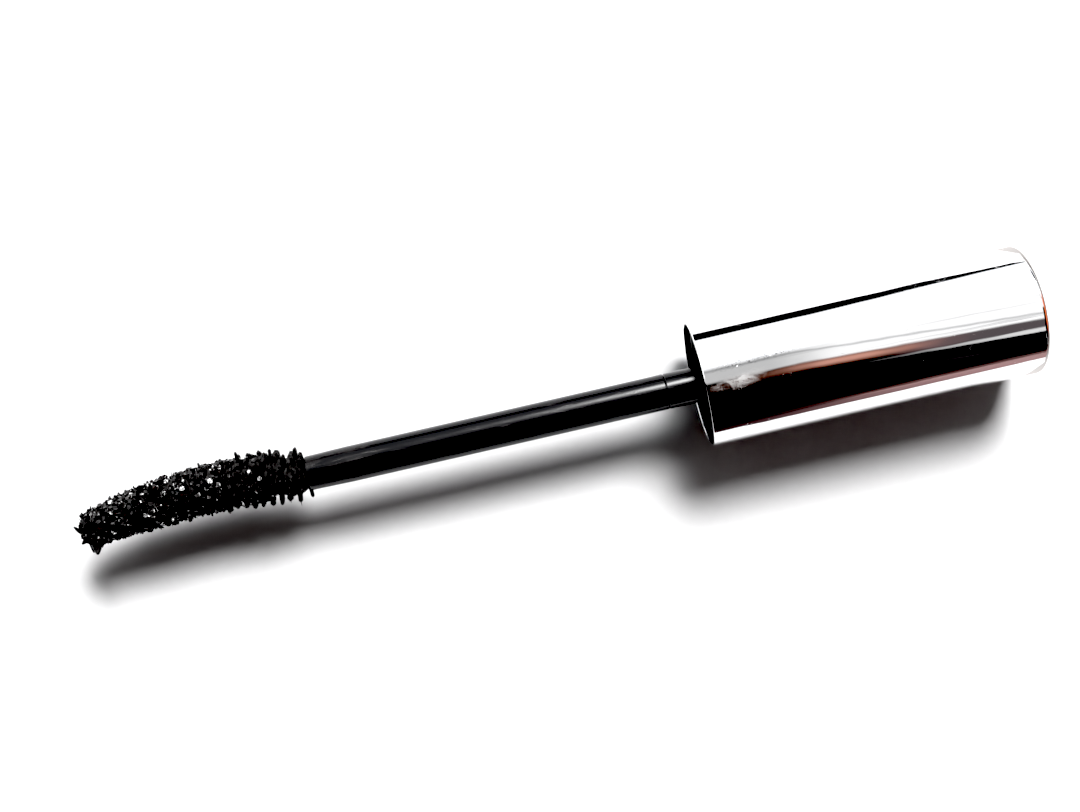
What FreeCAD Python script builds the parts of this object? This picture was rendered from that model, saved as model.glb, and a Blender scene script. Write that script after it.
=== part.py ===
"""A mascara wand: a mirror-finished cap with a threaded liner, a moulded stem and a curved brush.

Units are millimetres. The origin is on the wand's axis, in the plane of the cap's open rim. +X runs along
the axis to the cap's closed end, +Y is the outer side of the brush's curve, and +Z is up as the wand lies
on its cap.
"""
import FreeCAD, Part
import os

import Sketcher

V = FreeCAD.Vector
doc = FreeCAD.newDocument("mascara_wand")

# ------------------------------------------------ driving dimensions
DIMENSIONS = {
    # drawn aluminium overshell
    "shell_radius": 9.0,
    "shell_length": 46.7,
    "shell_wall": 0.45,
    "shell_end_wall": 0.6,
    "shell_corner_radius": 0.7,
    "shell_lip_radius": 0.12,
    # moulded liner, pressed into the shell until it meets the closed end
    "press_clearance": 0.03,
    "rib_height": 0.35,
    "rib_width": 0.8,
    "rib_start": 3.0,
    "rib_length": 28.0,
    "rib_count": 12,
    "liner_recess": 0.8,
    "liner_wall": 1.4,
    "liner_mouth_chamfer": 0.4,
    "skirt_wall": 0.9,
    "bulkhead": 2.0,
    "neck_depth": 12.5,
    # thread for the bottle's neck
    "thread_height": 0.55,
    "thread_pitch": 2.5,
    "thread_turns": 1.5,
    "thread_foot_width": 1.3,
    "thread_crest_width": 0.6,
    "thread_lead_in": 2.4,
    # foam ring that the bottle's neck closes on
    "seal_thickness": 1.0,
    # moulded stem, snapped into the liner's socket
    "stem_radius": 2.5,
    "stem_reach": 55.7,
    "flange_width": 1.5,
    "flange_thickness": 1.0,
    "flange_edge_round": 0.3,
    "head_step": 0.5,
    "head_length": 9.0,
    "head_chamfer": 0.4,
    "bead_height": 0.35,
    "bead_width": 1.2,
    "bead_from_end": 3.0,
    "stem_bore_radius": 1.1,
    "stem_bore_depth": 30.0,
    "index_groove_depth": 0.12,
    "index_groove_width": 0.3,
    "index_groove_from_rim": 4.4,
    "nose_radius": 2.4,
    "nose_length": 6.0,
    "nose_round": 0.3,
    # folded and twisted wire that carries the brush, bent outside the stem and then bowed the other way
    "wire_radius": 0.5,
    "wire_seat_depth": 7.5,
    "wire_seat_clearance": 0.02,
    "wire_lead": 0.3,
    "kink_radius": 8.0,
    "kink_angle": 8.8,
    "bow_radius": 75.4,
    "bow_angle": 23.2,
    # nylon bristles held between the wires
    "bristle_gap": 0.1,
    "bristle_overhang": 0.4,
    "brush_first_row_radius": 3.1,
    "brush_base_radius": 3.65,
    "brush_quarter_radius": 3.6,
    "brush_middle_radius": 3.5,
    "brush_taper_radius": 3.3,
    "brush_tip_radius": 2.8,
}

sheet = doc.addObject("Spreadsheet::Sheet", "dims")
for row, (alias, value) in enumerate(DIMENSIONS.items(), start=1):
    sheet.set(f"A{row}", alias)
    sheet.set(f"B{row}", str(value))
    sheet.setAlias(f"B{row}", alias)
doc.recompute()


def size(expression):
    """The number that an expression on the sheet comes to now."""
    return float(sheet.evalExpression(expression))


# Sizes that follow from the driving ones. Each is an expression, so a change on the sheet carries through.
SHELL_BORE = "(dims.shell_radius - dims.shell_wall)"
SHELL_FLOOR = "(dims.shell_length - dims.shell_end_wall)"
RIB_CROWN = f"({SHELL_BORE} - dims.press_clearance)"
LINER_RADIUS = f"({RIB_CROWN} - dims.rib_height)"
NECK_BORE = f"({LINER_RADIUS} - dims.liner_wall)"
THREAD_CREST = f"({NECK_BORE} - dims.thread_height)"
THREAD_START = "(dims.liner_recess + dims.thread_lead_in)"
SKIRT_BORE = f"({LINER_RADIUS} - dims.skirt_wall)"
BULKHEAD_BACK = "(dims.neck_depth + dims.bulkhead)"
SEAL_FRONT = "(dims.neck_depth - dims.seal_thickness)"
HEAD_RADIUS = "(dims.stem_radius + dims.head_step)"
HEAD_END = "(dims.neck_depth + dims.head_length)"
BEAD_MIDDLE = f"({HEAD_END} - dims.bead_from_end)"
BEAD_RADIUS = f"({HEAD_RADIUS} + dims.bead_height)"
SOCKET_RADIUS = f"({HEAD_RADIUS} + dims.press_clearance)"
SOCKET_END = f"({HEAD_END} + dims.press_clearance)"
BOSS_RADIUS = f"({SOCKET_RADIUS} + dims.bead_height + dims.skirt_wall)"
BOSS_END = f"({SOCKET_END} + dims.skirt_wall)"
FLANGE_RADIUS = f"({HEAD_RADIUS} + dims.flange_width)"
FLANGE_FRONT = f"({SEAL_FRONT} - dims.flange_thickness)"
GROOVE_NEAR = "(-dims.index_groove_from_rim)"
GROOVE_FAR = f"({GROOVE_NEAR} - dims.index_groove_width)"
STEM_END = "(-dims.stem_reach)"
WIRE_SEAT_END = f"({STEM_END} + dims.wire_seat_depth)"
WIRE_SEAT_RADIUS = "(dims.wire_radius + dims.wire_seat_clearance)"
WIRE_LEAVES_STRAIGHT = f"({STEM_END} - dims.wire_lead)"


# ------------------------------------------------ drawing in a body's sketches
def origin_plane(body, role):
    return next(f for f in body.Origin.OriginFeatures if f.Role == role)


def new_body(label):
    body = doc.addObject("PartDesign::Body", label)
    body.Label = label
    return body


def new_sketch(body, name, role="XY_Plane"):
    sketch = body.newObject("Sketcher::SketchObject", name)
    sketch.AttachmentSupport = [(origin_plane(body, role), "")]
    sketch.MapMode = "FlatFace"
    return sketch


def pin_point(sketch, edge, end, x, y):
    """Ties one end of an edge to the sketch's origin by two dimensions that follow the sheet."""
    for kind, expression in (("DistanceX", x), ("DistanceY", y)):
        index = sketch.addConstraint(Sketcher.Constraint(kind, -1, 1, edge, end, size(expression)))
        sketch.setExpression(f"Constraints[{index}]", expression)


def pin_radius(sketch, edge, expression):
    index = sketch.addConstraint(Sketcher.Constraint("Radius", edge, size(expression)))
    sketch.setExpression(f"Constraints[{index}]", expression)


def draw_outline(sketch, corners):
    """A closed outline of straight edges through corners, which are pairs of expressions."""
    points = [V(size(x), size(y), 0) for x, y in corners]
    count = len(points)
    for i in range(count):
        sketch.addGeometry(Part.LineSegment(points[i], points[(i + 1) % count]), False)
    for i in range(count):
        sketch.addConstraint(Sketcher.Constraint("Coincident", i, 2, (i + 1) % count, 1))
    for i, (x, y) in enumerate(corners):
        pin_point(sketch, i, 1, x, y)


def draw_circle(sketch, radius):
    sketch.addGeometry(Part.Circle(V(0, 0, 0), V(0, 0, 1), size(radius)), False)
    sketch.addConstraint(Sketcher.Constraint("Coincident", 0, 3, -1, 1))
    pin_radius(sketch, 0, radius)


# ------------------------------------------------ solid features
def turn(body, name, corners):
    """Turns an outline of (distance along the axis, radius) pairs about the wand's axis."""
    sketch = new_sketch(body, f"{name}_outline")
    draw_outline(sketch, corners)
    feature = body.newObject("PartDesign::Revolution", name)
    feature.Profile = sketch
    feature.ReferenceAxis = (sketch, ["H_Axis"])
    feature.Angle = 360
    doc.recompute()


def ring_edges(shape, x, radius):
    """Names of the round edges about the axis at distance x along it and of that radius."""
    names = []
    for number, edge in enumerate(shape.Edges, start=1):
        curve = edge.Curve
        if isinstance(curve, Part.Circle):
            if abs(curve.Center.x - x) < 1e-4 and abs(curve.Radius - radius) < 1e-4:
                names.append(f"Edge{number}")
    return names


def ease_rings(body, name, kind, setting, expression, places):
    """Rounds or chamfers the ring edges at places, which are (distance along the axis, radius) pairs."""
    base = body.Tip
    edges = [edge for x, radius in places for edge in ring_edges(base.Shape, size(x), size(radius))]
    feature = body.newObject(kind, name)
    feature.Base = (base, edges)
    feature.setExpression(setting, expression)
    doc.recompute()


def round_rings(body, name, radius, places):
    ease_rings(body, name, "PartDesign::Fillet", "Radius", radius, places)


def chamfer_rings(body, name, leg, places):
    ease_rings(body, name, "PartDesign::Chamfer", "Size", leg, places)


# ------------------------------------------------ outer_shell: a drawn, polished aluminium cup
shell = new_body("outer_shell")
turn(shell, "cup", [
    ("0", "dims.shell_radius"),
    ("dims.shell_length", "dims.shell_radius"),
    ("dims.shell_length", "0"),
    (SHELL_FLOOR, "0"),
    (SHELL_FLOOR, SHELL_BORE),
    ("0", SHELL_BORE),
])
round_rings(shell, "closed_end_corner", "dims.shell_corner_radius", [
    ("dims.shell_length", "dims.shell_radius"),
])
round_rings(shell, "rim_lip", "dims.shell_lip_radius", [("0", "dims.shell_radius"), ("0", SHELL_BORE)])

# ------------------------------------------------ inner_cap: the liner with the bottle's thread
liner = new_body("inner_cap")
turn(liner, "moulding", [
    ("dims.liner_recess", LINER_RADIUS),
    (SHELL_FLOOR, LINER_RADIUS),
    (SHELL_FLOOR, SKIRT_BORE),
    (BULKHEAD_BACK, SKIRT_BORE),
    (BULKHEAD_BACK, BOSS_RADIUS),
    (BOSS_END, BOSS_RADIUS),
    (BOSS_END, "0"),
    (SOCKET_END, "0"),
    (SOCKET_END, SOCKET_RADIUS),
    (f"{BEAD_MIDDLE} + dims.bead_width", SOCKET_RADIUS),
    (BEAD_MIDDLE, f"{BEAD_RADIUS} + dims.press_clearance"),
    (f"{BEAD_MIDDLE} - dims.bead_width", SOCKET_RADIUS),
    ("dims.neck_depth", SOCKET_RADIUS),
    ("dims.neck_depth", NECK_BORE),
    ("dims.liner_recess", NECK_BORE),
])
chamfer_rings(liner, "mouth_chamfer", "dims.liner_mouth_chamfer", [
    ("dims.liner_recess", NECK_BORE),
])

# The thread's foot runs a little way into the wall that it stands on.
thread_outline = new_sketch(liner, "thread_outline")
draw_outline(thread_outline, [
    (f"{THREAD_START} - dims.thread_foot_width / 2", f"{NECK_BORE} + dims.press_clearance"),
    (f"{THREAD_START} + dims.thread_foot_width / 2", f"{NECK_BORE} + dims.press_clearance"),
    (f"{THREAD_START} + dims.thread_crest_width / 2", THREAD_CREST),
    (f"{THREAD_START} - dims.thread_crest_width / 2", THREAD_CREST),
])
thread = liner.newObject("PartDesign::AdditiveHelix", "neck_thread")
thread.Profile = thread_outline
thread.ReferenceAxis = (thread_outline, ["H_Axis"])
thread.Mode = "pitch-turns-angle"
thread.setExpression("Pitch", "dims.thread_pitch")
thread.setExpression("Turns", "dims.thread_turns")
doc.recompute()

# Crush ribs along the outside hold the liner in the shell. Their feet also run into the wall.
rib_outline = new_sketch(liner, "rib_outline", "YZ_Plane")
rib_outline.setExpression(".AttachmentOffset.Base.z", "dims.rib_start")
draw_outline(rib_outline, [
    (f"{LINER_RADIUS} - dims.press_clearance", "-dims.rib_width / 2"),
    (RIB_CROWN, "-dims.rib_width / 4"),
    (RIB_CROWN, "dims.rib_width / 4"),
    (f"{LINER_RADIUS} - dims.press_clearance", "dims.rib_width / 2"),
])
rib = liner.newObject("PartDesign::Pad", "crush_rib")
rib.Profile = rib_outline
rib.setExpression("Length", "dims.rib_length")
doc.recompute()
ribs = liner.newObject("PartDesign::PolarPattern", "crush_ribs")
ribs.Originals = [rib]
ribs.Axis = (rib_outline, ["N_Axis"])
ribs.Angle = 360
ribs.setExpression("Occurrences", "dims.rib_count")
liner.Tip = ribs
doc.recompute()

# ------------------------------------------------ neck_seal: a foam ring held by the stem's flange
seal = new_body("neck_seal")
turn(seal, "ring", [
    (SEAL_FRONT, f"{NECK_BORE} - dims.press_clearance"),
    ("dims.neck_depth", f"{NECK_BORE} - dims.press_clearance"),
    ("dims.neck_depth", SOCKET_RADIUS),
    (SEAL_FRONT, SOCKET_RADIUS),
])

# ------------------------------------------------ stem: moulded, cored from the head end
stem = new_body("stem")
turn(stem, "moulding", [
    (HEAD_END, "dims.stem_bore_radius"),
    (HEAD_END, HEAD_RADIUS),
    (f"{BEAD_MIDDLE} + dims.bead_width", HEAD_RADIUS),
    (BEAD_MIDDLE, BEAD_RADIUS),
    (f"{BEAD_MIDDLE} - dims.bead_width", HEAD_RADIUS),
    (SEAL_FRONT, HEAD_RADIUS),
    (SEAL_FRONT, FLANGE_RADIUS),
    (FLANGE_FRONT, FLANGE_RADIUS),
    (FLANGE_FRONT, "dims.stem_radius"),
    (GROOVE_NEAR, "dims.stem_radius"),
    (f"({GROOVE_NEAR} + {GROOVE_FAR}) / 2", "dims.stem_radius - dims.index_groove_depth"),
    (GROOVE_FAR, "dims.stem_radius"),
    (f"{STEM_END} + dims.nose_length", "dims.stem_radius"),
    (STEM_END, "dims.nose_radius"),
    (STEM_END, WIRE_SEAT_RADIUS),
    (WIRE_SEAT_END, WIRE_SEAT_RADIUS),
    (WIRE_SEAT_END, "0"),
    (f"{HEAD_END} - dims.stem_bore_depth", "0"),
    (f"{HEAD_END} - dims.stem_bore_depth", "dims.stem_bore_radius"),
])
chamfer_rings(stem, "head_chamfer", "dims.head_chamfer", [(HEAD_END, HEAD_RADIUS)])
round_rings(stem, "flange_round", "dims.flange_edge_round", [(FLANGE_FRONT, FLANGE_RADIUS)])
round_rings(stem, "nose_round", "dims.nose_round", [(STEM_END, "dims.nose_radius")])

# ------------------------------------------------ the route of the twisted wire
# It is straight in the stem, kinks towards +Y just outside it, and bows back towards -Y to the tip.
KINK_END = (
    f"({WIRE_LEAVES_STRAIGHT} - dims.kink_radius * sin(dims.kink_angle))",
    "(dims.kink_radius * (1 - cos(dims.kink_angle)))",
)


def bow_heading(turned):
    """Angle between the wire and the stem once it has turned that far along the bow."""
    return f"(dims.kink_angle - {turned})"


def bow_point(turned):
    heading = bow_heading(turned)
    x = f"({KINK_END[0]} + dims.bow_radius * (sin{heading} - sin(dims.kink_angle)))"
    y = f"({KINK_END[1]} + dims.bow_radius * (cos{heading} - cos(dims.kink_angle)))"
    return x, y


def draw_route(body, name):
    """The centre line of the wire from the bottom of its seat to its tip: a line and two tangent arcs."""
    sketch = new_sketch(body, name)
    straight_end = V(size(WIRE_LEAVES_STRAIGHT), 0, 0)
    kink_end = V(size(KINK_END[0]), size(KINK_END[1]), 0)
    kink_middle = straight_end + V(0, size("dims.kink_radius"), 0)
    bow_middle = kink_end + (kink_end - kink_middle) * size("dims.bow_radius / dims.kink_radius")
    heading = size("dims.kink_angle * pi / 180")
    bow = size("dims.bow_angle * pi / 180")
    quarter = size("pi / 2")
    kink_circle = Part.Circle(kink_middle, V(0, 0, 1), size("dims.kink_radius"))
    bow_circle = Part.Circle(bow_middle, V(0, 0, 1), size("dims.bow_radius"))
    sketch.addGeometry(Part.LineSegment(V(size(WIRE_SEAT_END), 0, 0), straight_end), False)
    sketch.addGeometry(Part.ArcOfCircle(kink_circle, -quarter - heading, -quarter), False)
    sketch.addGeometry(Part.ArcOfCircle(bow_circle, quarter - heading, quarter - heading + bow), False)
    sketch.addConstraint(Sketcher.Constraint("Coincident", 0, 2, 1, 2))
    sketch.addConstraint(Sketcher.Constraint("Coincident", 1, 1, 2, 1))
    pin_point(sketch, 0, 1, WIRE_SEAT_END, "0")
    pin_point(sketch, 0, 2, WIRE_LEAVES_STRAIGHT, "0")
    pin_point(sketch, 1, 1, *KINK_END)
    pin_point(sketch, 2, 2, *bow_point("dims.bow_angle"))
    pin_radius(sketch, 1, "dims.kink_radius")
    pin_radius(sketch, 2, "dims.bow_radius")
    return sketch


def sweep_round(body, name, kind, radius):
    """Sweeps a circle along the wire's route, to add a rod or cut a bore."""
    section = new_sketch(body, f"{name}_section", "YZ_Plane")
    section.setExpression(".AttachmentOffset.Base.z", WIRE_SEAT_END)
    draw_circle(section, radius)
    route = draw_route(body, f"{name}_route")
    doc.recompute()
    feature = body.newObject(kind, name)
    feature.Profile = section
    feature.Spine = (route, ["Edge1", "Edge2", "Edge3"])
    doc.recompute()


# ------------------------------------------------ core_wire: the outside of the two twisted legs
core = new_body("core_wire")
sweep_round(core, "twisted_pair", "PartDesign::AdditivePipe", "dims.wire_radius")

# ------------------------------------------------ bristles: the outside of the brush, bored for wire
bristles = new_body("bristles")


def brush_section(number, place, heading, radius):
    """A round section of the brush across the wire at that place and heading."""
    x, y = place
    section = new_sketch(bristles, f"brush_section_{number}", "YZ_Plane")
    section.AttachmentOffset = FreeCAD.Placement(V(0, 0, 0), FreeCAD.Rotation(V(0, 1, 0), 1))
    section.setExpression(".AttachmentOffset.Base.x", y)
    section.setExpression(".AttachmentOffset.Base.z", x)
    section.setExpression(".AttachmentOffset.Rotation.Angle", f"-{heading}")
    draw_circle(section, radius)
    return section


# Sections by how far the wire has turned along the bow, the last one a little past the wire's tip.
BOW_SECTIONS = [
    ("0", "dims.brush_base_radius"),
    ("dims.bow_angle / 4", "dims.brush_quarter_radius"),
    ("dims.bow_angle / 2", "dims.brush_middle_radius"),
    ("dims.bow_angle * 3 / 4", "dims.brush_taper_radius"),
    ("(dims.bow_angle + dims.bristle_overhang / dims.bow_radius * 180 / pi)", "dims.brush_tip_radius"),
]
first_row = brush_section(0, (f"({STEM_END} - dims.bristle_gap)", "0"), "0", "dims.brush_first_row_radius")
bow_sections = [
    brush_section(number, bow_point(turned), bow_heading(turned), radius)
    for number, (turned, radius) in enumerate(BOW_SECTIONS, start=1)
]
doc.recompute()
envelope = bristles.newObject("PartDesign::AdditiveLoft", "filament_envelope")
envelope.Profile = first_row
envelope.Sections = bow_sections
envelope.Ruled = True
doc.recompute()
sweep_round(bristles, "wire_bore", "PartDesign::SubtractivePipe", WIRE_SEAT_RADIUS)

# ------------------------------------------------ check every object, then write each piece
for item in doc.Objects:
    if "Invalid" in item.State or "Error" in item.State:
        raise RuntimeError(f"{item.Label} didn't build: {item.State}")
os.makedirs("parts", exist_ok=True)
for piece in (shell, liner, seal, stem, core, bristles):
    if piece.Shape.isNull() or not piece.Shape.isValid():
        raise RuntimeError(f"{piece.Label} has no valid shape")
    print(piece.Label, len(piece.Shape.Solids), round(piece.Shape.Volume, 2))
    piece.Shape.exportStep(f"parts/{piece.Label}.step")
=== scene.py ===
"""A mascara wand lying on its cap: mirror-metal shell, black stem and a loaded, curved brush.

Metres throughout. +X runs along the wand to the cap's closed end, +Y is the outer side of the brush's
bow and +Z is up. The origin is on the axis at the cap's open rim.
"""

import math

import bpy
import numpy as np
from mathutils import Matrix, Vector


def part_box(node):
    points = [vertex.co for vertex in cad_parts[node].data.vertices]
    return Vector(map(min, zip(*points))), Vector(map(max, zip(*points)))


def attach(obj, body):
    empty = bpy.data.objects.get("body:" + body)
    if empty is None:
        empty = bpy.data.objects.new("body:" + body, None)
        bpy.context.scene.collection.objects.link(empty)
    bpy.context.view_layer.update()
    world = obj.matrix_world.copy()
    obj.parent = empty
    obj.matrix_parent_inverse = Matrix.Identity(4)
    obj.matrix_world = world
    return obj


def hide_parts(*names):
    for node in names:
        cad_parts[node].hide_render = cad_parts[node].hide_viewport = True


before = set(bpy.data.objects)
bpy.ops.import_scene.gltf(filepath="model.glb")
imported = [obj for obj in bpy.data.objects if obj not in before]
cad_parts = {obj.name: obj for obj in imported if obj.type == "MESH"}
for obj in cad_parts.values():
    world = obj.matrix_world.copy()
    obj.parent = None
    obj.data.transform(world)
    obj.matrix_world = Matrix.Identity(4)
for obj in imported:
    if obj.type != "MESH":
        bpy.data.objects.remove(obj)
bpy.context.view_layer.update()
mm = 0.001


# ---------------------------------------------------------------- outer shell
# The cap's outside is a thin aluminium cup, deep drawn, polished, clear anodised to a mirror and pressed
# over the liner. It shows what is around it, and keeps finger marks, dust and hairline scratches. Inside
# the mouth its inner wall is painted dark grey, as shade.
class Field:
    """A shader socket that takes part in arithmetic: each operation adds its Math node."""

    def __init__(self, finish, socket):
        self.finish = finish
        self.socket = socket

    def math(self, operation, *others):
        return self.finish.add("ShaderNodeMath", {"operation": operation}, enumerate((self, *others)))

    def __add__(self, other):
        return self.math("ADD", other)

    __radd__ = __add__

    def __sub__(self, other):
        return self.math("SUBTRACT", other)

    def __rsub__(self, other):
        return self * -1.0 + other

    def __mul__(self, other):
        return self.math("MULTIPLY", other)

    __rmul__ = __mul__

    def step(self, low, high):
        """0 below low, 1 above high and smooth in between; low may be the larger one."""
        spans = {"Value": self, "From Min": low, "From Max": high}
        return self.finish.add("ShaderNodeMapRange", {"interpolation_type": "SMOOTHSTEP"}, spans)

    def band(self, low, high, soft):
        """1 between low and high, fading to 0 over soft on each side."""
        return self.step(low - soft, low + soft) * self.step(high + soft, high - soft)


class Finish:
    """The nodes of one material, or of the world, and the shader that they feed."""

    def __init__(self, owner, shader, constants=()):
        owner.use_nodes = True
        self.owner = owner
        self.tree = owner.node_tree
        self.shader = self.tree.nodes[shader]
        for name, value in dict(constants).items():
            self.shader.inputs[name].default_value = value

    def add(self, kind, settings=(), sockets=(), out=0):
        """A new node of that kind: its settings first, then its sockets, by name or number."""
        node = self.tree.nodes.new(kind)
        for name, value in dict(settings).items():
            setattr(node, name, value)
        for name, value in dict(sockets).items():
            self.feed(node.inputs[name], value)
        return Field(self, node.outputs[out])

    def feed(self, socket, value):
        if isinstance(value, Field):
            self.tree.links.new(value.socket, socket)
        else:
            socket.default_value = value

    def set(self, **fields):
        """Feeds the shader's own sockets: Base_Color=..., Roughness=..., Normal=..."""
        for name, value in fields.items():
            self.feed(self.shader.inputs[name.replace("_", " ")], value)

    def place(self):
        """The point on the piece in the wand's frame, in millimetres, as a vector."""
        point = self.add("ShaderNodeTexCoord", out="Object")
        return self.add("ShaderNodeVectorMath", {"operation": "SCALE"}, {0: point, "Scale": 1 / mm})

    def parts(self, vector):
        return [self.add("ShaderNodeSeparateXYZ", (), {0: vector}, out=axis) for axis in "XYZ"]

    def vector(self, x, y, z):
        return self.add("ShaderNodeCombineXYZ", (), {0: x, 1: y, 2: z})

    def noise(self, vector, scale, detail=2.0, roughness=0.5, distortion=0.0):
        sockets = {"Vector": vector, "Scale": scale, "Detail": detail, "Roughness": roughness}
        sockets["Distortion"] = distortion
        return self.add("ShaderNodeTexNoise", (), sockets)

    def blend(self, share, low, high):
        """A colour between two others."""
        kind = {"data_type": "RGBA", "clamp_factor": True}
        return self.add("ShaderNodeMix", kind, {0: share, 6: low, 7: high}, out=2)

    def bump(self, height, distance, normal=None):
        """A normal from a height of 0 to 1 that stands for that distance in metres."""
        sockets = {"Height": height, "Distance": distance, "Strength": 1.0}
        if normal is not None:
            sockets["Normal"] = normal
        return self.add("ShaderNodeBump", (), sockets)


def new_finish(name, constants):
    return Finish(bpy.data.materials.new(name), "Principled BSDF", constants)


def round_the_axis(finish):
    """Distance along the wand and angle round it from the top towards +Y, in mm and radians."""
    x, y, z = finish.parts(finish.place())
    return x, y.math("ARCTAN2", z)


def wear(node, finish):
    """Gives a CAD piece its finish."""
    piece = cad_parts[node]
    piece.data.materials.clear()
    piece.data.materials.append(finish.owner)


shell_low, shell_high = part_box("outer_shell")
cap_radius = shell_high.z / mm
cap_end = shell_high.x / mm
mirror = new_finish("mirror_anodised_aluminium", {"Metallic": 1.0, "Specular IOR Level": 0.5})
along, angle = round_the_axis(mirror)
_, across, above = mirror.parts(mirror.place())
radius = (across * across + above * above).math("SQRT")
# The shell's inner wall inside the mouth is painted dark grey as shade, and made duller than the outside;
# the lip and the closed end are left out.
inside = radius.step(cap_radius - 0.1, cap_radius - 0.3) * along.step(0.16, 0.24)
inside = inside * along.step(cap_end - 0.3, cap_end - 0.6)
round_cap = angle * cap_radius
unrolled = mirror.vector(along, round_cap, 0.0)
off_centre = radius.step(3.0, cap_radius - 0.1)
draw_lines = mirror.noise(mirror.vector(along * 0.05, round_cap * 7.0, 0.0), 1.0, 3.0) * off_centre
ripple = mirror.noise(mirror.vector(along * 0.09, round_cap * 0.30, 0.0), 1.0, 2.0) * off_centre
rubbed = mirror.vector(along * 0.55 + round_cap * 0.3, round_cap * 0.8, 0.0)
smear = mirror.noise(rubbed, 1.0, 6.0, 0.62, 1.2)
palm = mirror.noise(mirror.vector(along * 0.30, round_cap * 0.22, 0.0), 1.0, 2.0)
wiped_off = mirror.noise(mirror.vector(along * 0.25, round_cap * 4.5, 0.0), 1.0, 3.0)
touched = along.band(0.8, 7.5, 2.4) * (round_cap - 0.10 * along + 1.3).band(-0.9, 0.9, 0.8)
skin_oil = touched * (0.30 + 0.70 * smear.step(0.36, 0.62)) * (0.45 + 0.55 * wiped_off)
ridges = mirror.noise(mirror.vector(along * 1.1, round_cap * 1.6, 0.0), 1.0, 2.0, 0.5, 2.0)
ridges = (ridges - 0.5).math("ABSOLUTE").step(0.030, 0.008)
dried = ridges * along.band(2.5, 12.5, 2.5) * (round_cap - 0.05 * along - 1.35).band(-0.40, 0.40, 0.35)
skin_oil = skin_oil + palm.step(0.56, 0.74) * smear.step(0.45, 0.75) * wiped_off * 0.10
dust = mirror.add("ShaderNodeTexVoronoi", (), {"Vector": unrolled, "Scale": 0.62, "Randomness": 1.0})
dust = dust.step(0.060, 0.030)
polish = mirror.blend(skin_oil, (0.93, 0.93, 0.935, 1), (0.74, 0.73, 0.72, 1))
nicks = mirror.vector(along * 0.55 + round_cap * 0.9, round_cap * 0.55 - along * 0.35, 0.0)
nicks = mirror.noise(nicks, 1.0, 1.0, 0.5, 1.5)
nicks = (nicks - 0.5).math("ABSOLUTE").step(0.006, 0.002) * palm.step(0.60, 0.72)
scratches = mirror.bump(draw_lines + dust * 5.0 + nicks * 2.0, 0.0008 * mm)
# The dark grey is painted shade on the inner wall, and on the outside the tone of dried ridges.
mirror.set(
    Base_Color=mirror.blend(inside + dried * 0.9, polish, (0.12, 0.12, 0.125, 1)),
    Roughness=0.020 + 0.015 * draw_lines + 0.46 * skin_oil + 0.3 * dust + 0.25 * nicks + 0.35 * inside,
    Normal=mirror.bump(ripple, 0.020 * mm, scratches),
)
wear("outer_shell", mirror)

# ---------------------------------------------------------------- liner
# The black polypropylene liner is moulded in one piece: a threaded mouth, a bulkhead with the stem's
# socket, and crush ribs that grip the shell. It has the fine grain of a spark-eroded mould.
liner = new_finish("moulded_polypropylene", {"Specular IOR Level": 0.4})
grain = liner.noise(liner.place(), 14.0, 3.0)
mottle = liner.noise(liner.place(), 0.7, 3.0)
liner.set(
    Base_Color=liner.blend(mottle, (0.010, 0.010, 0.011, 1), (0.017, 0.017, 0.018, 1)),
    Roughness=0.36 + 0.16 * grain,
    Normal=liner.bump(grain, 0.006 * mm),
)
wear("inner_cap", liner)

# ---------------------------------------------------------------- neck seal
# A ring punched from closed-cell polyethylene foam. The stem's flange holds it on the bulkhead, and the
# rim of the bottle's neck closes on it.
foam = new_finish("closed_cell_foam", {"Specular IOR Level": 0.3})
cells = foam.add("ShaderNodeTexVoronoi", (), {"Vector": foam.place(), "Scale": 6.0})
foam.set(
    Base_Color=foam.blend(cells, (0.48, 0.48, 0.47, 1), (0.70, 0.70, 0.68, 1)),
    Roughness=0.7 + 0.2 * cells,
    Normal=foam.bump(cells, 0.03 * mm),
)
wear("neck_seal", foam)

# ---------------------------------------------------------------- stem
# The stem is moulded in black acetal with a glossy skin and snapped into the liner. The bottle's wiper
# leaves a thin dull film of product on it, thicker near the brush.
stem_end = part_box("stem")[0].x
stem_radius = 2.5 * mm
acetal = new_finish("glossy_black_acetal", {"Specular IOR Level": 0.4})
along, angle = round_the_axis(acetal)
round_stem = angle * (stem_radius / mm)
wiped = acetal.noise(acetal.vector(along * 0.22, round_stem * 1.6, 0.0), 1.0, 4.0, 0.6, 0.4)
hairlines = acetal.noise(acetal.vector(along * 0.1, round_stem * 14.0, 0.0), 1.0, 2.0)
near_brush = along.step(stem_end / mm + 16.0, stem_end / mm)
film = (wiped + near_brush * 0.18).step(0.52, 0.78)
pimples = acetal.noise(acetal.place(), 2.6, 3.0, 0.5)
acetal.set(
    Base_Color=acetal.blend(film, (0.0045, 0.0045, 0.005, 1), (0.011, 0.010, 0.010, 1)),
    Roughness=0.14 + 0.05 * hairlines + 0.13 * film,
    Normal=acetal.bump(hairlines, 0.0015 * mm, acetal.bump(pimples * film, 0.02 * mm)),
)
wear("stem", acetal)

# ---------------------------------------------------------------- wire
# One stainless wire is folded in two over the bristles and twisted, so that two strands lie round each
# other. It is pushed into the stem, kinked just outside it and bowed back to follow a lash line.
strand_radius = 0.25 * mm
twist_pitch = 2.6 * mm
wire_lead = 0.3 * mm
kink_radius = 8.0 * mm
kink_angle = math.radians(8.8)
bow_radius = 75.4 * mm
bow_angle = math.radians(23.2)
wire_length = wire_lead + kink_radius * kink_angle + bow_radius * bow_angle


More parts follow.
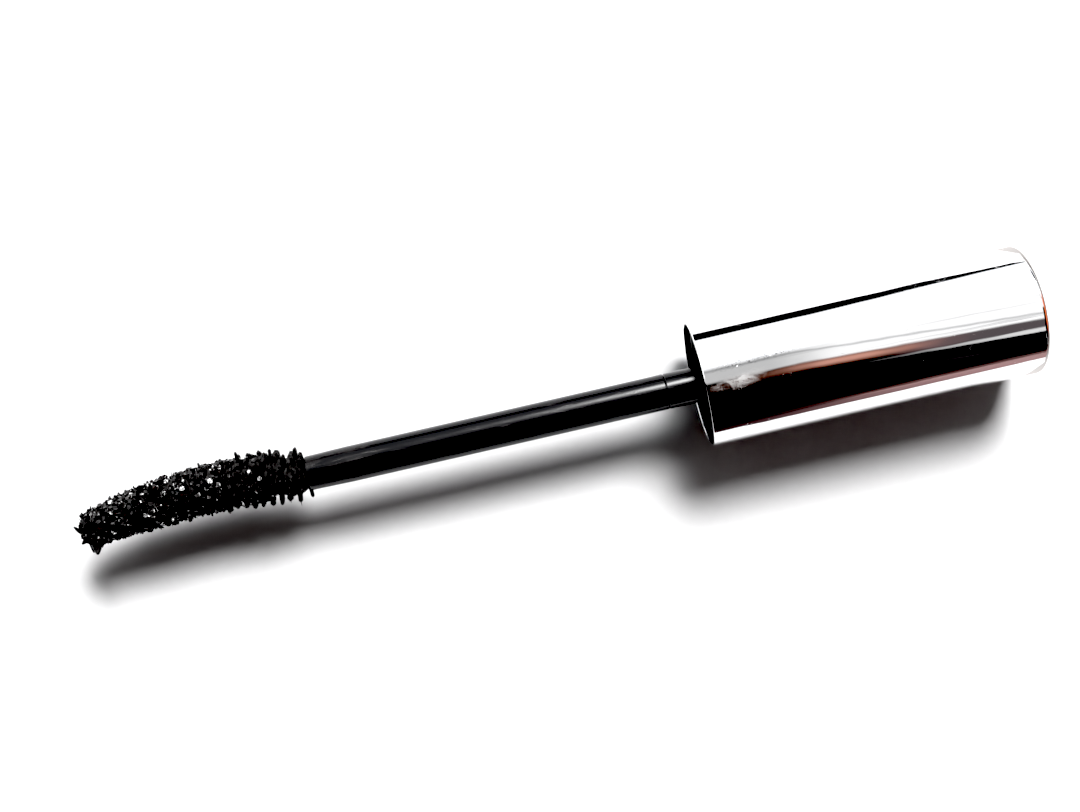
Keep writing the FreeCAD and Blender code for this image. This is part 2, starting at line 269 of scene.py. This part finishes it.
def wire_at(run):
    """Centre of the wire that far out of the stem, and the unit vectors across it in plan and up."""
    kink = np.clip((run - wire_lead) / kink_radius, 0, kink_angle)
    bow = np.clip((run - wire_lead - kink_radius * kink_angle) / bow_radius, 0, None)
    heading = kink - bow
    x = stem_end - np.minimum(run, wire_lead) - kink_radius * np.sin(kink)
    x = x - bow_radius * (np.sin(kink) - np.sin(heading))
    y = kink_radius * (1 - np.cos(kink)) + bow_radius * (np.cos(heading) - np.cos(kink))
    nothing = np.zeros_like(heading)
    centre = np.stack([x, y, nothing], -1)
    across = np.stack([np.sin(heading), np.cos(heading), nothing], -1)
    up = np.stack([nothing, nothing, nothing + 1], -1)
    return centre, across, up


def off_wire(run, radius, turn):
    """The point at that radius from the wire and that turn round it, from +Y towards +Z."""
    centre, across, up = wire_at(run)
    radius, turn = np.asarray(radius)[..., None], np.asarray(turn)[..., None]
    return centre + radius * (np.cos(turn) * across + np.sin(turn) * up)


def tube_faces(rings, sides):
    """Four-cornered faces round a tube, and the fans that close it at the two points after its rings."""
    near = np.arange(sides)
    far = (near + 1) % sides
    last = (rings - 1) * sides
    quads = [
        np.stack([ring + near, ring + far, ring + sides + far, ring + sides + near], 1)
        for ring in range(0, last, sides)
    ]
    fans = [
        np.stack([far, near, np.full(sides, rings * sides)], 1),
        np.stack([last + near, last + far, np.full(sides, rings * sides + 1)], 1),
    ]
    return np.concatenate(quads), np.concatenate(fans)


def tubes(lines, radii, sides):
    """Vertices and faces of closed round tubes: lines is (tubes, points, 3), radii is (tubes, points)."""
    count, points, _ = lines.shape
    ahead = np.gradient(lines, axis=1)
    ahead /= np.linalg.norm(ahead, axis=2, keepdims=True)
    helper = np.where(np.abs(ahead[..., :1]) < 0.8, [1.0, 0.0, 0.0], [0.0, 0.0, 1.0])
    first = np.cross(ahead, helper)
    first /= np.linalg.norm(first, axis=2, keepdims=True)
    second = np.cross(ahead, first)
    turns = np.linspace(0, 2 * np.pi, sides, endpoint=False)
    spokes = np.cos(turns)[:, None] * first[:, :, None] + np.sin(turns)[:, None] * second[:, :, None]
    rings = lines[:, :, None] + radii[:, :, None, None] * spokes
    tips = lines[:, -1] + ahead[:, -1] * radii[:, -1:]
    tails = lines[:, 0] - ahead[:, 0] * radii[:, :1] * 0.5
    vertices = np.concatenate([rings.reshape(count, -1, 3), tails[:, None], tips[:, None]], 1)
    quads, fans = tube_faces(points, sides)
    step = np.arange(count)[:, None, None] * (points * sides + 2)
    faces = [(quads + step).reshape(-1, 4), (fans + step).reshape(-1, 3)]
    return vertices.reshape(-1, 3), faces


def solid(name, vertices, faces, finish, slot, smooth=True):
    """A mesh piece of the wand, with its finish, riding on the wand. The slot is not used."""
    mesh = bpy.data.meshes.new(name)
    mesh.from_pydata(vertices.tolist(), [], [row for block in faces for row in block.tolist()])
    mesh.validate()
    mesh.polygons.foreach_set("use_smooth", [smooth] * len(mesh.polygons))
    mesh.materials.append(finish.owner)
    piece = bpy.data.objects.new(name, mesh)
    bpy.context.scene.collection.objects.link(piece)
    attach(piece, "root")
    return piece


steel = new_finish("drawn_stainless_wire", {"Metallic": 1.0})
drawn = steel.noise(steel.place(), 9.0, 2.0)
steel.set(
    Base_Color=steel.blend(drawn, (0.50, 0.49, 0.48, 1), (0.63, 0.62, 0.60, 1)),
    Roughness=0.25 + 0.15 * drawn,
    Normal=steel.bump(drawn, 0.003 * mm),
)
hidden_in_stem = 1.0 * mm
runs = np.linspace(-hidden_in_stem, wire_length - strand_radius, 420)
strand_lines = np.stack([
    off_wire(runs, np.full_like(runs, strand_radius), 2 * np.pi * runs / twist_pitch + half_turn)
    for half_turn in (0, np.pi)
])
strand_radii = np.full(strand_lines.shape[:2], strand_radius)
wire = solid("twisted_wire", *tubes(strand_lines, strand_radii, sides=10), steel, "wire_steel")
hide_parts("core_wire")

# ---------------------------------------------------------------- bristles
# Nylon filaments lie across the wire before it is twisted, so they fan out of it in a double spiral. The
# brush is trimmed to a slim taper, and wet product draws neighbouring tips together into points.
chance = np.random.default_rng(7)
filament_radius = 0.045 * mm
filament_root = 0.2 * mm
filament_count = 460
length_spread = 0.05
first_row = 0.12 * mm
last_row = wire_length - 0.2 * mm


def brush_radius(run, turn):
    """Radius of the brush that far out of the stem and that far round: less at the tip inside the bow."""
    share = run / wire_length
    worn = 0.20 * np.clip((share - 0.70) / 0.22, 0, 1) * np.clip(-np.cos(turn), 0, 1)
    knots = [0.0, 0.05, 0.25, 0.5, 0.75, 0.93, 1.0]
    return np.interp(share, knots, np.array([3.3, 3.7, 3.6, 3.5, 3.3, 2.95, 2.7])) * (1 - worn) * mm


def clumped(values, size, pull):
    """Draws each value towards the middle of its group of neighbours of about that size."""
    group = np.floor(values / size + 0.35 * np.sin(values / size * 2.1))
    middle = np.array([values[group == g].mean() for g in np.unique(group)])
    return values + pull * (middle[np.searchsorted(np.unique(group), group)] - values)


def legs(count, pull):
    """Roots, tips and lengths: both legs of each filament, in the double spiral, with gathered tips."""
    root = np.sort(chance.uniform(first_row, last_row, count))
    tip = clumped(root, twist_pitch / 5, pull) + chance.normal(0, 0.09 * mm, count)
    root, tip = np.tile(root, 2), np.tile(tip, 2)
    half_turn = np.repeat([0, np.pi], count)
    root_turn = 2 * np.pi * root / twist_pitch + half_turn
    tip_turn = 2 * np.pi * tip / twist_pitch + half_turn + chance.normal(0, 0.07, 2 * count)
    length = brush_radius(tip, tip_turn) * chance.normal(1.0, length_spread, 2 * count)
    stray = (chance.random(2 * count) > 0.97) & (tip < 0.3 * wire_length)
    length *= np.where(stray, 1.12, 1.0)
    return root, root_turn, tip, tip_turn, length


def filament_lines(root, root_turn, tip, tip_turn, length, points):
    """Lines from the wire to the tips, gathering towards them."""
    lines = []
    for share in np.linspace(0, 1, points):
        ease = share ** 1.5
        run = root + (tip - root) * ease
        turn = root_turn + (tip_turn - root_turn) * ease
        lines.append(off_wire(run, filament_root + (length - filament_root) * share, turn))
    return np.stack(lines, 1)


nylon = new_finish("black_nylon_filament", {"Specular IOR Level": 0.35, "Coat Roughness": 0.2})
coated = nylon.noise(nylon.place(), 3.0, 3.0)
nylon.set(
    Base_Color=nylon.blend(coated, (0.004, 0.004, 0.0045, 1), (0.010, 0.009, 0.009, 1)),
    Roughness=0.28 + 0.3 * coated,
    Coat_Weight=coated.step(0.4, 0.6) * 0.25,
    Normal=nylon.bump(coated, 0.02 * mm),
)
fan = legs(filament_count, pull=0.70)
fan_lines = filament_lines(*fan, points=7)
thinning = np.linspace(1.15, 0.75, 7)[None] * chance.uniform(0.85, 1.2, (len(fan_lines), 1))
fan_tubes = tubes(fan_lines, thinning * filament_radius, sides=6)
filaments = solid("bristle_filaments", *fan_tubes, nylon, "bristle_nylon")
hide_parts("bristles")

# ---------------------------------------------------------------- product
# Thick wet mascara fills the brush between the filaments, webs their tips together, stands in small peaks
# and hangs from the tip. It is fullest beyond the middle and thinner at the first rows, where tufts show.
product = new_finish("wet_black_mascara", {"Specular IOR Level": 0.25, "Coat Roughness": 0.15})
lumps = product.noise(product.place(), 2.2, 5.0, 0.6)
crumbs = product.noise(product.place(), 9.0, 3.0, 0.6)
product.set(
    Base_Color=product.blend(crumbs, (0.0028, 0.0026, 0.0026, 1), (0.009, 0.008, 0.008, 1)),
    Roughness=0.22 + 0.28 * crumbs,
    Coat_Weight=lumps.step(0.54, 0.68) * 0.2,
    Normal=product.bump(lumps, 0.30 * mm, product.bump(crumbs, 0.08 * mm)),
)


def fullness(run):
    """How much of the brush's radius the product fills, by how far out it is."""
    knots = [0, 0.03, 0.15, 0.32, 0.8, 0.95, 1]
    return np.interp(run / wire_length, knots, [0.68, 0.72, 0.78, 0.87, 0.89, 0.86, 0.66])


def product_core():
    """A lumpy closed tube along the wire."""
    stations = np.linspace(first_row, last_row, 150)
    around = np.linspace(0, 2 * np.pi, 56, endpoint=False)
    run, turn = np.meshgrid(stations, around, indexing="ij")
    swell = np.zeros_like(run)
    for waves, size in ((9, 0.10), (17, 0.07), (31, 0.05)):
        for _ in range(5):
            rounds = chance.integers(1, 7)
            phase = chance.uniform(0, 2 * np.pi, 2)
            pitch = waves * chance.uniform(0.7, 1.3) * run / wire_length * 2 * np.pi
            swell += size / 2 * np.sin(pitch + phase[0]) * np.cos(rounds * turn + phase[1])
    radius = brush_radius(run, turn) * fullness(run) * (0.92 + swell)
    vertices = off_wire(run, radius, turn).reshape(-1, 3)
    ends = np.stack([wire_at(stations[i])[0] for i in (0, -1)])
    return np.concatenate([vertices, ends]), tube_faces(*run.shape)


core_vertices, core_faces = product_core()
peak_count = 400
peaks = legs(peak_count, pull=0.85)
peak_lines = filament_lines(*peaks, points=5)
peak_tip = peaks[2]
tufted = np.interp(peak_tip / wire_length, [0, 0.3, 0.4], [1, 1, 0])[:, None]
peak_taper = (0.25 + 0.13 * tufted) * mm - np.linspace(0, 0.11, 5)[None] * mm * (1 - 0.4 * tufted)
peak_radii = peak_taper * chance.uniform(0.75, 1.25, (len(peak_lines), 1))
peak_vertices, peak_faces = tubes(peak_lines, peak_radii, sides=7)
peak_faces = [block + len(core_vertices) for block in peak_faces]
drop_share = np.linspace(0, 1, 9)
drop_profile = np.interp(drop_share, [0, 0.45, 0.75, 1], [1.0, 0.90, 0.66, 0.30])
drop_lines, drop_radii = [], []
# For each drop at the tip: how far back it starts, how far it reaches, its turn and its radius.
for back, reach, turn, size in (
    (0.9, 2.55, 174, 0.82),
    (0.1, 1.9, 196, 0.42),
    (1.9, 2.1, 168, 0.5),
    (-0.1, 1.7, 128, 0.38),
    (-0.2, 1.6, 60, 0.34),
):
    drop_run = wire_length - (back - 0.4 * drop_share) * mm
    drop_turn = np.radians(turn - 14 * drop_share)
    drop_lines.append(off_wire(drop_run, (0.8 + reach * drop_share) * mm, drop_turn))
    drop_radii.append(drop_profile * size * mm)
drop_vertices, drop_faces = tubes(np.stack(drop_lines), np.stack(drop_radii), sides=12)
drop_faces = [block + len(core_vertices) + len(peak_vertices) for block in drop_faces]
load = solid(
    "mascara_load",
    np.concatenate([core_vertices, peak_vertices, drop_vertices]),
    [*core_faces, *peak_faces, *drop_faces],
    product,
    "bristle_nylon",
)
melt = load.modifiers.new("melt_together", "REMESH")
melt.mode = "VOXEL"
melt.voxel_size = 0.095 * mm
melt.use_smooth_shade = True
settle = load.modifiers.new("settle", "SMOOTH")
settle.factor = 0.5
settle.iterations = 1

# ---------------------------------------------------------------- flakes
# The loaded brush has been dabbed in black glitter: hexagons punched from film, under a millimetre
# across. They lie on the product at all tilts, thick from the middle of the brush to its tip.
flake_across = 0.76 * mm
flake_thickness = 0.05 * mm
flake_count = 2000
glitter = new_finish("black_glitter_film", {"Specular IOR Level": 0.70})
rumple = glitter.noise(glitter.place(), 2.4, 2.0)
dirt = glitter.noise(glitter.place(), 5.0, 3.0)
glitter.set(
    Base_Color=glitter.blend(dirt, (0.004, 0.004, 0.004, 1), (0.020, 0.018, 0.018, 1)),
    Roughness=0.10 + 0.25 * dirt,
    Normal=glitter.bump(rumple, 0.13 * mm),
)


def flakes(count):
    """Hexagonal plates on the product, each tilted from it its own way."""
    share = chance.beta(1.25, 0.95, count)
    run = first_row + (last_row + 0.25 * mm - first_row) * (0.14 + 0.86 * share)
    turn = chance.uniform(0, 2 * np.pi, count)
    radius = brush_radius(run, turn) * np.clip(fullness(run) + chance.normal(0.02, 0.05, count), 0.5, 1.0)
    middle = off_wire(run, radius, turn)
    outward = middle - wire_at(run)[0]
    outward /= np.linalg.norm(outward, axis=1, keepdims=True)
    facing = outward + chance.normal(0, 0.62, (count, 3))
    facing /= np.linalg.norm(facing, axis=1, keepdims=True)
    first = np.cross(facing, chance.normal(0, 1, (count, 3)))
    first /= np.linalg.norm(first, axis=1, keepdims=True)
    second = np.cross(facing, first)
    corners = np.arange(6) * np.pi / 3
    rim = np.cos(corners)[:, None] * first[:, None] + np.sin(corners)[:, None] * second[:, None]
    rim *= flake_across / 2 * chance.uniform(0.85, 1.08, (count, 1, 1))
    lift = facing[:, None] * flake_thickness / 2
    vertices = np.concatenate([middle[:, None] + rim - lift, middle[:, None] + rim + lift], 1)
    near = np.arange(6)
    far = (near + 1) % 6
    step = np.arange(count)[:, None, None] * 12
    sides = (np.stack([near, far, far + 6, near + 6], 1) + step).reshape(-1, 4)
    plates = (np.stack([near[::-1], near + 6]) + step).reshape(-1, 6)
    return vertices.reshape(-1, 3), [sides, plates]


solid("glitter_flakes", *flakes(flake_count), glitter, "bristle_nylon", smooth=False)

# ---------------------------------------------------------------- floor
# A plain matt white board with a fine tooth. The wand lies on its cap's wall, so the board is one cap
# radius below the axis.
board_size = 8.0
board = new_finish("matt_white_board", {"Specular IOR Level": 0.2})
tooth = board.noise(board.place(), 0.8, 3.0)
board.set(
    Base_Color=board.blend(tooth, (0.61, 0.61, 0.615, 1), (0.64, 0.64, 0.645, 1)),
    Roughness=0.7 + 0.1 * tooth,
)
bpy.ops.mesh.primitive_plane_add(size=board_size, location=(0, 0, shell_low.z))
floor = bpy.context.object
floor.name = "board"
floor.data.materials.append(board.owner)

# ---------------------------------------------------------------- light
# A bright screen on the +Y side leans over the wand, the other side is dark, and a soft lamp high on the
# screen's side throws the shadow. Seams, a copper tint, a lit slot and dark cards give the mirror its
# lines. Towards the cap's end the screen is plainer, and what is in plain view behind is bare white.
sky = Finish(bpy.data.worlds.new("studio"), "Background")
bpy.context.scene.world = sky.owner
east, north, high = sky.parts(sky.add("ShaderNodeTexCoord", out="Generated"))
tilt = north.math("ARCTAN2", high) * (180 / math.pi)
aside = east.step(0.40, 0.50)


def beyond(start, rate):
    """Grows at that rate with the direction's share of +X past start, and is gone again to the side."""
    return (east - start).math("MAXIMUM", 0.0) * rate * (1.0 - aside)


screen_foot = 82.0 + beyond(0.19, 66.0) + 8.0 * aside
screen_top = -3.0 - beyond(0.17, 125.0)
screen = (tilt - screen_foot).step(2.0, -2.0) * (tilt - screen_top).step(-2.5, 2.5)
overhead = tilt.step(26.0, 18.0)
dim, pale, white = (0.60, 0.60, 0.60, 1), (1.12, 1.12, 1.12, 1), (1.35, 1.37, 1.40, 1)
glow = sky.blend(overhead, white, sky.blend(east.step(0.15, 0.21), dim, pale))
seam = (tilt - 17.0 + beyond(0.17, 190.0)).band(-1.5, 1.5, 2.0) * 0.6
folds = sky.noise(sky.vector(tilt * 0.16 + east * 14.0, east * 2.0, 0.0), 1.0, 2.0).step(0.44, 0.34)
folds = folds * tilt.step(24.0, 14.0) * east.step(0.12, 0.20) * 0.55
glow = sky.blend(seam.math("MAXIMUM", folds), glow, (0.20, 0.20, 0.21, 1))
behind = tilt.step(-82.0, -91.0)
blush = sky.blend(east.step(0.12, 0.26), (0.045, 0.034, 0.036, 1), (0.24, 0.150, 0.145, 1))
streaks = sky.noise(sky.vector(tilt * 0.12 + east * 22.0, east * 3.0, 0.0), 1.0, 3.0).step(0.50, 0.72)
dark = sky.blend(streaks * east.step(0.17, 0.30), (0.004, 0.004, 0.0045, 1), (0.125, 0.120, 0.124, 1))
dark = sky.blend(behind, dark, blush)
murk = (tilt - screen_top + 8.0).band(-9.0, 9.0, 4.0) * east.band(0.235, 0.36, 0.02)
murk_tone = sky.blend(east.step(0.25, 0.29), (0.21, 0.150, 0.152, 1), (0.145, 0.130, 0.135, 1))
dark = sky.blend(murk, dark, murk_tone)
glow = sky.blend(screen, dark, glow)
copper = (tilt - screen_top + 5.5).band(-6.0, 4.0, 4.5) * east.band(0.165, 0.24, 0.03)
glow = sky.blend(copper, glow, (0.68, 0.36, 0.29, 1))
glow = sky.blend(aside * tilt.band(56.0, 75.0, 3.0), glow, (0.03, 0.03, 0.032, 1))
slot_width = 1.0 + beyond(0.215, 25.0)
slot = (tilt + 28.0 + 122.0 * (east - 0.215)).math("ABSOLUTE")
slot = (slot - slot_width).step(1.5, -1.5) * east.step(0.19, 0.32)
glow = sky.blend(slot, glow, (0.8, 0.8, 0.8, 1))
warm = east.step(0.78, 0.86) * north.band(-0.45, 0.20, 0.12)
glow = sky.blend(warm, glow, (0.95, 0.24, 0.11, 1))
window = tilt.band(36.0, 52.0, 9.0) * east.band(0.07, 0.34, 0.07)
glow = sky.blend(window, glow, (44.0, 44.0, 44.0, 1))
seen = sky.add("ShaderNodeLightPath", out="Is Camera Ray")
scattered = sky.add("ShaderNodeLightPath", out="Is Diffuse Ray")
sky.set(Color=sky.blend(seen, glow, (1.05, 1.05, 1.05, 1)), Strength=1.0 - 0.70 * scattered)

lamp_from = (0.50, 0.80, 1.0)
lamp = bpy.data.lights.new("soft_lamp", "SUN")
lamp.angle = math.radians(24.0)
lamp.energy = 6.6
lamp_object = bpy.data.objects.new("soft_lamp", lamp)
lamp_object.location = lamp_from
lamp_object.rotation_mode = "QUATERNION"
lamp_object.rotation_quaternion = lamp_object.location.to_track_quat("Z", "Y")
bpy.context.scene.collection.objects.link(lamp_object)

card_lift = 0.05 * mm


def dark_card(name, outline, low, high, between, lean=0.0):
    """A flat card just over the board that only reflections show; its tone changes along +X."""
    finish = new_finish(name, {"Roughness": 1.0, "Specular IOR Level": 0.0})
    x, y, _ = finish.parts(finish.place())
    finish.set(Base_Color=finish.blend((x + y * lean).step(*between), (*low, 1), (*high, 1)))
    mesh = bpy.data.meshes.new(name)
    corners = [(x, y, shell_low.z + card_lift) for x, y in outline]
    mesh.from_pydata(corners, [], [range(len(corners))])
    mesh.materials.append(finish.owner)
    card = bpy.data.objects.new(name, mesh)
    bpy.context.scene.collection.objects.link(card)
    for ray in ("camera", "diffuse", "shadow", "transmission", "volume_scatter"):
        setattr(card, f"visible_{ray}", False)


far = board_size / 2
black, wine, rose = (0.01, 0.01, 0.01), (0.020, 0.015, 0.016), (0.200, 0.130, 0.130)
far_outline = [(-far, 0.098), (0.060, 0.106), (0.105, 0.19), (1.43, far), (-far, far)]
dark_card("far_card", far_outline, black, black, (0.0, 1.0))
near_outline = [(-far, -far), (far, -far), (far, -0.073), (-far, -0.073)]
dark_card("near_card", near_outline, wine, rose, (-20.0, 60.0), lean=0.2)
end_outline = [
    (0.0472, -0.012), (0.070, -0.070), (1.0, -1.2), (1.0, 1.2), (0.070, 0.070), (0.0472, 0.012),
]
dark_card("end_card", end_outline, (0.50, 0.48, 0.47), (0.10, 0.094, 0.090), (10.0, 110.0))

# ---------------------------------------------------------------- camera
# A 50 mm lens looks straight down at the stem from about 20 cm, turned so that the cap's end points up
# to the right. The darkest tones are pressed down to black.
looks_at = (-22.1 * mm, 1.95 * mm)
above_axis = 208.6 * mm
turned = math.radians(12.9)
black_level = 0.052
camera = bpy.data.cameras.new("camera")
camera.lens = 50
camera.sensor_width = 36
camera.clip_start = 0.01
camera_object = bpy.data.objects.new("camera", camera)
camera_object.location = (*looks_at, above_axis)
camera_object.rotation_euler = (0, 0, -turned)
bpy.context.scene.collection.objects.link(camera_object)
scene = bpy.context.scene
scene.camera = camera_object
scene.view_settings.view_transform = "Standard"
scene.view_settings.look = "None"
scene.view_settings.use_curve_mapping = True
scene.view_settings.curve_mapping.black_level = (black_level, black_level, black_level)
scene.view_settings.curve_mapping.update()
